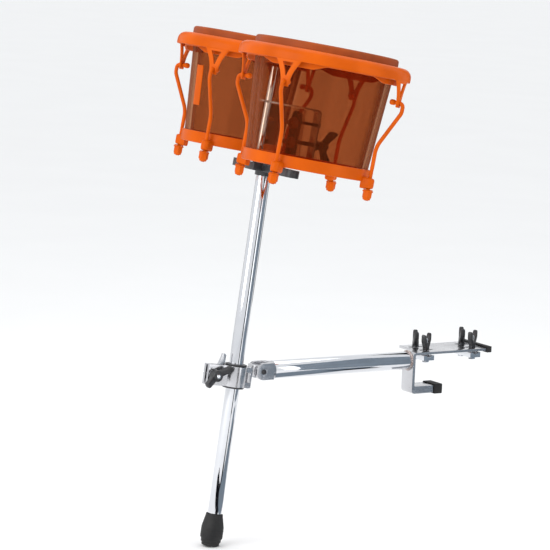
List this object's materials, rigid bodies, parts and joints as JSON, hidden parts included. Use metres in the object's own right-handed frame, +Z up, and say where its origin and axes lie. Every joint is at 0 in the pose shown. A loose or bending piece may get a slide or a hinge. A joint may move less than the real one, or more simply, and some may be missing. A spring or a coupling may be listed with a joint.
{
  "type": "bongo drums on clamp stand",
  "caption": "Joined open-bottomed hand drums on a tilting chrome post, held by a jaw clamp on an arm whose bracket clamps to a larger drum.",
  "frame": {"origin": "on the arm's axis, at the outer face of the bracket's upright bar", "axes": "+X along the arm towards the drum that it clamps to, +Z up, the two drums in line along Y with the large one at -Y"},
  "size_m": [0.5508, 0.4944, 0.8054],
  "materials": {
    "chrome": "polished",
    "rubber": "matt, moulded",
    "black_cast": "satin black",
    "nylon": "satin",
    "drum_shell": "tinted orange-brown",
    "skin": "orange, smooth",
    "block_wood": "stained",
    "drum_hardware": "gloss orange"
  },
  "bodies": {
    "bracket": {"mount_bracket": "chrome", "lip_cap": "rubber", "plate_end_cap": "rubber", "arm_tube": "chrome"},
    "unit_a": {"unit_a_saddle": "chrome", "unit_a_bolts": "chrome"},
    "unit_a_wing_1": {"unit_a_wing_nut_1": "black_cast"},
    "unit_a_wing_2": {"unit_a_wing_nut_2": "black_cast"},
    "unit_b": {"unit_b_saddle": "chrome", "unit_b_bolts": "chrome"},
    "unit_b_wing_1": {"unit_b_wing_nut_1": "black_cast"},
    "unit_b_wing_2": {"unit_b_wing_nut_2": "black_cast"},
    "swivel": {"arm_yoke": "chrome", "yoke_pin": "chrome"},
    "clamp": {"rear_jaw": "chrome", "jaw_hinge_pin": "chrome", "clamp_nut": "chrome"},
    "washer": {"clamp_washer": "chrome"},
    "clamp_screw": {"clamp_wing_bolt": "black_cast"},
    "jaw": {"front_jaw": "chrome"},
    "bushing": {"post_bushing": "nylon"},
    "post": {"post_tube": "chrome", "foot_cap": "rubber", "head_crossbar": "black_cast", "crossbar_bolt": "chrome", "block_strap": "chrome", "pad_screw_boss": "black_cast", "centre_block": "block_wood", "block_bolts": "chrome", "block_washers": "chrome", "small_badge": "drum_hardware", "large_shell": "drum_shell", "large_head": "skin", "large_flesh_hoop": "drum_hardware", "large_rim": "drum_hardware", "large_tension_hooks": "drum_hardware", "large_bottom_ring": "drum_hardware", "large_lug_washers": "drum_hardware", "small_shell": "drum_shell", "small_head": "skin", "small_flesh_hoop": "drum_hardware", "small_rim": "drum_hardware", "small_tension_hooks": "drum_hardware", "small_bottom_ring": "drum_hardware", "small_lug_washers": "drum_hardware"},
    "gate": {"gate_rod": "chrome"},
    "pad": {"pad_rubber": "rubber", "pad_plate": "black_cast", "pad_guide_pins": "chrome"},
    "pad_screw": {"pad_screw": "chrome", "pad_wing": "black_cast"},
    "large_nut_1": {"large_tuning_nut_1": "drum_hardware"},
    "large_nut_2": {"large_tuning_nut_2": "drum_hardware"},
    "large_nut_3": {"large_tuning_nut_3": "drum_hardware"},
    "large_nut_4": {"large_tuning_nut_4": "drum_hardware"},
    "small_nut_1": {"small_tuning_nut_1": "drum_hardware"},
    "small_nut_2": {"small_tuning_nut_2": "drum_hardware"},
    "small_nut_3": {"small_tuning_nut_3": "drum_hardware"},
    "small_nut_4": {"small_tuning_nut_4": "drum_hardware"}
  },
  "joints": [
    {"name": "unit_a_slide", "type": "slide", "parent": "bracket", "child": "unit_a", "axis": [1, 0, 0], "range_m": [-0.009, 0.009]},
    {"name": "unit_a_wing_turn_1", "type": "hinge", "parent": "unit_a", "child": "unit_a_wing_1", "pos_m": [0.033, 0.005, 0.014], "axis": [0, 0, 1], "continuous": true},
    {"name": "unit_a_wing_turn_2", "type": "hinge", "parent": "unit_a", "child": "unit_a_wing_2", "pos_m": [0.033, 0.035, 0.014], "axis": [0, 0, 1], "continuous": true},
    {"name": "unit_b_slide", "type": "slide", "parent": "bracket", "child": "unit_b", "axis": [1, 0, 0], "range_m": [-0.009, 0.009]},
    {"name": "unit_b_wing_turn_1", "type": "hinge", "parent": "unit_b", "child": "unit_b_wing_1", "pos_m": [0.125, 0.005, 0.014], "axis": [0, 0, 1], "continuous": true},
    {"name": "unit_b_wing_turn_2", "type": "hinge", "parent": "unit_b", "child": "unit_b_wing_2", "pos_m": [0.125, 0.035, 0.014], "axis": [0, 0, 1], "continuous": true},
    {"name": "arm_swivel", "type": "hinge", "parent": "bracket", "child": "swivel", "pos_m": [-0.286, 0, 0], "axis": [1, 0, 0], "range_deg": [-60, 60]},
    {"name": "post_tilt", "type": "hinge", "parent": "swivel", "child": "clamp", "pos_m": [-0.286, 0, 0], "axis": [0, 1, 0], "range_deg": [-30, 30]},
    {"name": "clamp_screw_travel", "type": "slide", "parent": "clamp", "child": "washer", "axis": [0, -1, 0], "range_m": [0, 0.0031]},
    {"name": "clamp_wing_turn", "type": "hinge", "parent": "washer", "child": "clamp_screw", "pos_m": [-0.3721, -0.015, -0.00066], "axis": [0, -1, 0], "range_deg": [0, 930]},
    {"name": "jaw_open", "type": "hinge", "parent": "clamp", "child": "jaw", "pos_m": [-0.30923, -0.01, 0.00281], "axis": [0.1201, 0, 0.9928], "range_deg": [0, 3]},
    {"name": "post_turn", "type": "hinge", "parent": "clamp", "child": "bushing", "pos_m": [-0.32909, 0, 0.00521], "axis": [0.1201, 0, 0.9928], "continuous": true},
    {"name": "post_slide", "type": "slide", "parent": "bushing", "child": "post", "axis": [0.1201, 0, 0.9928], "range_m": [-0.12, 0.12]},
    {"name": "gate_rod_turn", "type": "hinge", "parent": "post", "child": "gate", "pos_m": [-0.30478, 0.00101, 0.3263], "axis": [0.1667, -0.0033, 0.986], "continuous": true},
    {"name": "pad_slide", "type": "slide", "parent": "post", "child": "pad", "axis": [0.9836, -0.0697, -0.1665], "range_m": [0, 0.012]},
    {"name": "pad_screw_turn", "type": "hinge", "parent": "pad", "child": "pad_screw", "pos_m": [-0.20779, -0.0055, 0.35248], "axis": [0.9836, -0.0697, -0.1665], "range_deg": [0, 3600]},
    {"name": "large_nut_turn_1", "type": "hinge", "parent": "post", "child": "large_nut_1", "pos_m": [-0.21084, -0.06891, 0.31019], "axis": [0.1667, -0.0033, 0.986], "continuous": true},
    {"name": "large_nut_turn_2", "type": "hinge", "parent": "post", "child": "large_nut_2", "pos_m": [-0.35677, -0.03746, 0.33496], "axis": [0.1667, -0.0033, 0.986], "continuous": true},
    {"name": "large_nut_turn_3", "type": "hinge", "parent": "post", "child": "large_nut_3", "pos_m": [-0.38786, -0.18547, 0.33972], "axis": [0.1667, -0.0033, 0.986], "continuous": true},
    {"name": "large_nut_turn_4", "type": "hinge", "parent": "post", "child": "large_nut_4", "pos_m": [-0.24193, -0.21692, 0.31495], "axis": [0.1667, -0.0033, 0.986], "continuous": true},
    {"name": "small_nut_turn_1", "type": "hinge", "parent": "post", "child": "small_nut_1", "pos_m": [-0.20676, 0.17177, 0.3103], "axis": [0.1667, -0.0033, 0.986], "continuous": true},
    {"name": "small_nut_turn_2", "type": "hinge", "parent": "post", "child": "small_nut_2", "pos_m": [-0.33087, 0.19852, 0.33137], "axis": [0.1667, -0.0033, 0.986], "continuous": true},
    {"name": "small_nut_turn_3", "type": "hinge", "parent": "post", "child": "small_nut_3", "pos_m": [-0.35731, 0.07263, 0.33542], "axis": [0.1667, -0.0033, 0.986], "continuous": true},
    {"name": "small_nut_turn_4", "type": "hinge", "parent": "post", "child": "small_nut_4", "pos_m": [-0.23321, 0.04589, 0.31435], "axis": [0.1667, -0.0033, 0.986], "continuous": true}
  ],
  "couplings": [
    {"joint": "clamp_wing_turn", "follows": "clamp_screw_travel", "rad_per_m": 5000},
    {"joint": "jaw_open", "follows": "clamp_screw_travel", "rad_per_m": 14.5},
    {"joint": "pad_screw_turn", "follows": "pad_slide", "rad_per_m": 5000}
  ]
}
